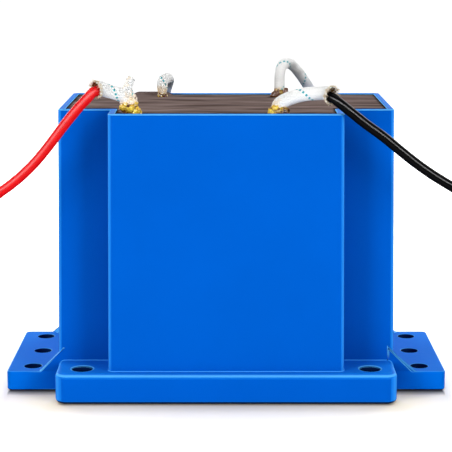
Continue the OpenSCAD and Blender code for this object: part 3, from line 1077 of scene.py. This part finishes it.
# %% [markdown]
# ### Frayed mouths
# The sleeves were cut with a hot blade, so their ends are ragged, browned and
# fuzzy. A hair system could grow the fuzz, but hairs made as a mesh stay in an
# export. Tapered hairs start round the mouth and bend outwards by random
# amounts. The random numbers have a fixed seed, so each run gives the same
# hairs.


# %% Frayed mouths
shares = [i / 6 for i in range(7)]


def frayed_mouth(corner, radius, count, longest, seed):
    pick = random.Random(seed)
    line = sleeve_lines[corner]
    heading, side, up = carried_frames(line, BACK)[-1]
    strands = Strands()
    for _ in range(count):
        turn = pick.uniform(0, math.tau)
        out = math.cos(turn) * side + math.sin(turn) * up
        round_about = heading.cross(out)
        start = line[-1] + out * radius * pick.uniform(0.84, 1.0)
        start -= heading * pick.uniform(0.2, 1.0) * MM
        reach = pick.uniform(0.35, 1.0) * longest
        bend, sway = pick.uniform(0.1, 1.0), pick.uniform(-0.7, 0.7)
        hair = []
        for t in shares:
            ahead = heading * reach * t * (1 - 0.35 * bend * t)
            outward = out * reach * bend * 0.55 * t * t
            hair.append(start + ahead + outward + round_about * reach * sway * 0.4 * t * t)
        thick = pick.uniform(0.05, 0.12) * MM
        radii = [thick * (1 - 0.8 * t) for t in shares]
        burn = pick.uniform(-0.6, 0.7)
        tints = [held(burn * t + 0.25 * burn) for t in shares]
        strands.add(tube_rings(hair, radii, 5, round_about), distances(hair), tints)
    strands.piece(corner + "_fray", [browned_fibre], (corner + "_sleeve",), "braided_sleeve")


frayed_mouth("front_left", 2.6 * MM, 230, 1.7 * MM, seed=11)
frayed_mouth("front_right", 2.7 * MM, 230, 1.9 * MM, seed=12)
frayed_mouth("rear_left", 1.8 * MM, 90, 1.2 * MM, seed=13)
frayed_mouth("rear_right", 1.8 * MM, 90, 1.2 * MM, seed=14)

# %% [markdown]
# ## The varnish beads
# Varnish was dabbed round the foot of each sleeve, where it ran together and
# set in glossy amber lumps with pale crusts and scorched patches. Overlapping
# balls give the lumps, a voxel remesh melts them into one skin, and noise
# roughens it. Metaballs would be softer than the real thing.

# %% Varnish material
varnish, tree, shader = new_material(
    "set varnish", Specular_IOR_Level=0.04, Coat_Weight=0.04, Coat_Roughness=0.12
)
amber = cloud_of(tree, (rgb(0.6, 0.31, 0.003), rgb(1.0, 0.78, 0.09)), 420.0)
pale = cloud_of(tree, (rgb(0.92, 0.74, 0.56), rgb(1.0, 0.93, 0.8)), 700.0)
# The mask is burn at the scorched places and painted shade in the crevices between lumps
burn_and_crevice_shade = vertex_value(tree, "mask")
coated = mix_colour(tree, vertex_value(tree, "crust"), amber["Colour"], pale["Colour"])
charred = ranged(tree, burn_and_crevice_shade, 1.0, 1.5)
burnt_and_shade_tone = mix_colour(tree, charred, rgb(0.11, 0.028, 0.004), rgb(0.012, 0.006, 0.002))
toned = mix_colour(tree, burn_and_crevice_shade, coated, burnt_and_shade_tone)
finish(tree, shader, toned, (2200.0, 0.45, 0.2), (0.5, 0.12))
print("finish:", varnish.name)


# %% Melted balls
def melted_balls(foot, balls):
    """One skin over balls (x, y, z, radius), in millimetres from the foot."""
    bm = bmesh.new()
    for x, y, z, radius in balls:
        ball = bmesh.ops.create_icosphere(bm, subdivisions=3, radius=radius * MM)
        bmesh.ops.translate(bm, verts=ball["verts"], vec=foot + Vector((x, y, z)) * MM)
    mesh = bpy.data.meshes.new("draft")
    bm.to_mesh(mesh)
    bm.free()
    lump = bpy.data.objects.new("draft", mesh)
    bpy.context.collection.objects.link(lump)
    melt = lump.modifiers.new("melt", "REMESH")
    melt.mode = "VOXEL"
    melt.voxel_size = 0.13 * MM
    graph = bpy.context.evaluated_depsgraph_get()
    melted = bpy.data.meshes.new_from_object(lump.evaluated_get(graph))
    bpy.data.objects.remove(lump)
    return melted


print("melted balls ready")


# %% Varnish bead
def varnish_bead(corner, balls, scorch, crust_from, brown=0.0, most=1.0):
    """A rough lump of melted balls, darkened as painted shade in the crevices between them.

    scorch lists (x, y, z, reach) places where the lump is burnt dark. The pale
    crust starts at the height crust_from, and brown darkens the whole lump.
    most is how far it may burn: one is brown and 1.5 is charred.
    """
    foot, buried = feet[corner], 0.25 * MM
    melted = melted_balls(foot, balls)
    burn_and_shade, crusted = [], []
    for v in melted.vertices:
        place = (v.co - foot) / MM
        depths = sorted((place - Vector(b[:3])).length - b[3] for b in balls)
        # Painted shade: darker in the crevice where two balls meet
        crevice_shade = max(0, 0.8 - (depths[1] - depths[0]) / 0.35)
        rough = noise.noise(place * 1.7) * 0.22 + noise.noise(place * 4.5) * 0.09
        out = Vector((place.x, place.y, place.z * 0.6)).normalized()
        v.co += out * rough * MM
        v.co.z = max(v.co.z, foot.z - buried)
        dark = max(crevice_shade, *(1.5 - (place - Vector(s[:3])).length / s[3] for s in scorch))
        burn_and_shade.append(held(dark + brown + 0.6 * noise.noise(place * 2.2), most))
        crusted.append(held((place.z - crust_from) / 1.2 + 1.1 * noise.noise(place * 1.4)))
    melted.materials.clear()
    dress_mesh(melted, [varnish], mask=burn_and_shade, crust=crusted)
    seat_piece(corner + "_varnish", melted, (corner + "_bead",))


print("varnish bead ready")

# %% Beads
varnish_bead(
    "front_left",
    [(0, 0, 0.8, 2.3), (-1.7, -0.6, 1.9, 1.5), (1.4, -0.8, 0.8, 1.7), (2.4, -0.3, 0.2, 1.1),
     (0.2, -1.2, 1.7, 1.6), (-0.9, -0.9, 2.8, 1.3), (0.9, -0.7, 3.2, 1.5), (0.8, 0.2, 4.2, 1.3),
     (-2.2, -0.4, 2.3, 0.9), (1.0, -0.3, 5.2, 0.8), (0, 1.4, 1.2, 1.6)],
    [(-1.7, -2.2, 0.2, 1.5), (-0.2, -2.8, 0.0, 1.2), (-2.8, -1.0, 0.3, 1.5),
     (-0.4, -2.4, 2.6, 0.6)],
    crust_from=2.7, most=1.5,
)
varnish_bead(
    "front_right",
    [(0, 0, 0.4, 2.6), (-1.6, -0.7, 0.4, 1.6), (1.7, -0.6, 0.5, 1.6), (-0.6, -0.9, 1.4, 1.6),
     (2.4, -0.3, 0.9, 1.0), (0.8, -1.2, 0.9, 1.4), (-2.1, -0.2, 0.9, 1.0), (0, 1.3, 0.9, 1.6)],
    [(1.7, -2.0, 0.6, 1.4), (2.9, -1.0, 0.9, 1.2), (0.2, -2.6, 0.1, 0.9)],
    crust_from=4.0, brown=0.1, most=1.4,
)
varnish_bead(
    "rear_left",
    [(0, 0, 0.2, 1.5), (0.1, -0.3, 1.1, 1.25), (0, -0.2, 2.0, 1.15), (0.5, 0.2, 0.1, 1.3)],
    [(0.9, -1.0, 0.0, 0.8), (-0.6, -1.4, -0.2, 0.5)],
    crust_from=0.2, brown=0.3,
)
varnish_bead(
    "rear_right",
    [(0, 0, 0.3, 2.3), (-1.5, -0.5, 0.5, 1.3), (1.9, -0.3, 1.3, 1.1), (0.2, -0.8, 1.2, 1.5),
     (-1.9, -0.2, -0.1, 1.2), (2.2, -0.1, 0.6, 1.0), (-0.6, -0.6, 1.9, 1.2),
     (2.1, -0.3, 2.0, 0.9)],
    [(-1.6, -1.6, 0.2, 1.5), (2.4, -1.0, 1.6, 1.3), (-2.6, -0.6, -0.2, 1.2)],
    crust_from=2.4, brown=0.65,
)

# %% [markdown]
# ## The cut wires at the back
# The two rear sleeves hang over the back wall, and a short cut wire shows below
# each. A plain cylinder would look like a peg, so it is insulation with a
# rounded lip round a twisted core, made from rings like the leads.

# %% Rear wires
wire_covering = clouded(
    "wire covering", (rgb(0.74, 0.7, 0.6), rgb(0.62, 0.57, 0.46)), 600.0,
    (1400.0, 0.5, 0.38), (0.3, 0.05), Specular_IOR_Level=0.3,
)


def cut_wire(name, node):
    low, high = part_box(node)
    x, y = (low.x + high.x) / 2, (low.y + high.y) / 2
    end = low.z + 1.3 * MM
    heights = [high.z + 1.5 * MM, high.z, end + 0.4 * MM, end + 0.1 * MM, end, end]
    radii = [1.1 * MM, 1.1 * MM, 1.1 * MM, 1.02 * MM, 0.9 * MM, 0.5 * MM]
    line = [Vector((x, y, z)) for z in heights]
    rings = [round_ring(p, ACROSS, BACK, r, 24) for p, r in zip(line, radii)]
    strands = Strands()
    strands.add(rings, distances(line))
    core = [Vector((x, y, end + 0.3 * MM - i * 0.1 * MM)) for i in range(17)]
    twisted_strands(strands, core, 1.2 * MM, 6 * MM, slot=1)
    strands.piece(name, [wire_covering, tinned_copper], (node,), "wire_end")


for side in ("left", "right"):
    cut_wire("rear_" + side + "_cut_wire", "rear_" + side + "_wire")

# %% [markdown]
# ## Floor, light and background
# A plain white floor and a white world give the pale studio ground. The floor
# is lit like any surface, so it keeps the shadow of the box, and emission that
# only the camera and reflections see lifts it to white. Both its tone and that
# lift follow the distance from the foot of the ears and the flange, which
# paints a dark line of shadow where the box stands. A warm tint beside the
# flange takes out the blue that the box throws there, and the light that the
# floor gives back to the box is that of a grey one.
#
# Two soft boxes at the sides light the front at a low angle, so the parts
# beside the bulge are darker, and two more light the back. A narrow strip above
# serves the tops. A long bright card, which lights nothing, draws the shine
# along the leads and is kept off the box, whose rim it would bleach. A picture
# of a studio as the world would be quicker, but it can't be aimed like this.


# %% Seen directly or in a reflection
def seen_mask(tree):
    """One for rays of the camera, of reflections and through glass."""
    rays = add_node(tree, "LightPath").outputs
    first = maths(tree, "MAXIMUM", rays["Is Camera Ray"], rays["Is Glossy Ray"])
    return maths(tree, "MAXIMUM", first, rays["Is Transmission Ray"])


print("seen mask ready")

# %% World
world = bpy.data.worlds.new("white studio")
bpy.context.scene.world = world
world.use_nodes = True
tree = world.node_tree
ambient = tree.nodes["Background"]
feed(tree, ambient, {"Color": WHITE, "Strength": 0.06})
white = add_node(tree, "Background", {"Color": WHITE, "Strength": 1.0})
inputs = {0: seen_mask(tree), 1: ambient.outputs[0], 2: white.outputs[0]}
either = add_node(tree, "MixShader", inputs).outputs[0]
feed(tree, tree.nodes["World Output"], {"Surface": either})
print("world:", world.name)

# %% Distance from the foot of the box
floor_white, tree, shader = new_material(
    "floor white", Roughness=0.9, Specular_IOR_Level=0.0, Emission_Color=WHITE
)
floor_place = add_node(tree, "TexCoord").outputs["Object"]


def beyond(centre, half, stretch):
    """How far a place of the floor is from a rectangle, in tenths of a metre.

    half is its half sizes, and stretch how much each step sideways and forwards
    counts.
    """
    made = floor_place
    for operation, *value in (
        ("SUBTRACT", centre), ("ABSOLUTE",), ("SUBTRACT", half), ("MAXIMUM", (0, 0, 0)),
        ("MULTIPLY", stretch), ("LENGTH",),
    ):
        made = vector_maths(tree, operation, made, *value)
    return maths(tree, "MULTIPLY", made, 10.0)


# Half sizes of two rectangles close to the outline of the foot
flange_half = Vector((49 * MM, (flange_back - case_low.y) / 2 - 0.65 * MM, 1))
ears_half = Vector((case_high.x - 1 * MM, case_high.y + 1 * MM, 1))
from_flange = beyond((0, flange_back - flange_half.y, 0), flange_half, (1, 1, 1))
from_ears = beyond((0, 0, 0), ears_half, (4, 0.5, 1))
nearest = maths(tree, "MINIMUM", from_ears, from_flange)
print("flange half:", [round(x / MM, 2) for x in flange_half.xy])

# %% Floor
# Painted shadow: the floor's tone falls to a tenth at the foot of the box
tone = colour_ramp(tree, nearest, ((0.0, 0.1), (0.01, 0.4), (0.025, 0.92)))
warm = colour_ramp(
    tree, from_flange,
    ((0.0, 1, 0.87, 0.64), (0.07, 1, 0.89, 0.68), (0.2, 1, 0.98, 0.95), (0.4, 1)),
)
# Emission is weak near the foot, so the painted shadow there stays dark
lift = colour_ramp(
    tree, nearest,
    ((0.0, 0), (0.03, 0.14), (0.06, 0.27), (0.11, 0.42), (0.25, 0.58), (0.6, 0.8), (1.0, 1)),
)
seen = seen_mask(tree)
tone = mix_colour(tree, seen, GREY, mix_colour(tree, 1.0, tone, warm, "MULTIPLY"))
feed(tree, shader, {"Base Color": tone, "Emission Strength": maths(tree, "MULTIPLY", seen, lift)})
floor_radius = 4
bm = bmesh.new()
bmesh.ops.create_circle(bm, cap_ends=True, segments=96, radius=floor_radius)
mesh = bpy.data.meshes.new("floor")
bm.to_mesh(mesh)
bm.free()
mesh.materials.append(floor_white)
floor = bpy.data.objects.new("floor", mesh)
floor.location.z = cad_low.z - 0.05 * MM
bpy.context.collection.objects.link(floor)
print("floor at", round(floor.location.z / MM, 2), "mm")


# %% Lamps
def soft_box(name, place, width, height, watts):
    """A rectangular lamp that faces the middle of the box and isn't seen itself."""
    data = bpy.data.lights.new(name, "AREA")
    data.shape, data.size, data.size_y, data.energy = "RECTANGLE", width, height, watts
    lamp = bpy.data.objects.new(name, data)
    lamp.location = place
    aim = Vector((0, 0, 0.05)) - lamp.location
    lamp.rotation_euler = aim.to_track_quat("-Z", "Y").to_euler()
    lamp.visible_camera = False
    bpy.context.collection.objects.link(lamp)
    print(name, "at", place)
    return lamp


soft_box("left soft box", (-0.44, -0.49, 0.18), 0.3, 0.4, 2.9)
soft_box("right soft box", (0.44, -0.49, 0.18), 0.3, 0.4, 2.9)
soft_box("left soft box behind", (-0.42, 0.5, 0.3), 0.35, 0.4, 3.0)
soft_box("right soft box behind", (0.42, 0.5, 0.3), 0.35, 0.4, 3.0)
soft_box("strip above", (0.0, 0.06, 0.75), 0.8, 0.14, 1.8)

# %% Card for the shine
card = soft_box("card for the shine", (0.0, -0.56, 0.4), 2.0, 0.16, 150.0)
card.visible_diffuse = False
kept_off = bpy.data.collections.new("not lit by the card")
kept_off.objects.link(box)
kept_off.collection_objects[0].light_linking.link_state = "EXCLUDE"
card.light_linking.receiver_collection = kept_off

# %% [markdown]
# ## Sizes
# The CAD box is printed again at the end.

# %% Print the CAD box
print("CAD  ", [round(x / MM, 2) for x in (*cad_low, *cad_high)])
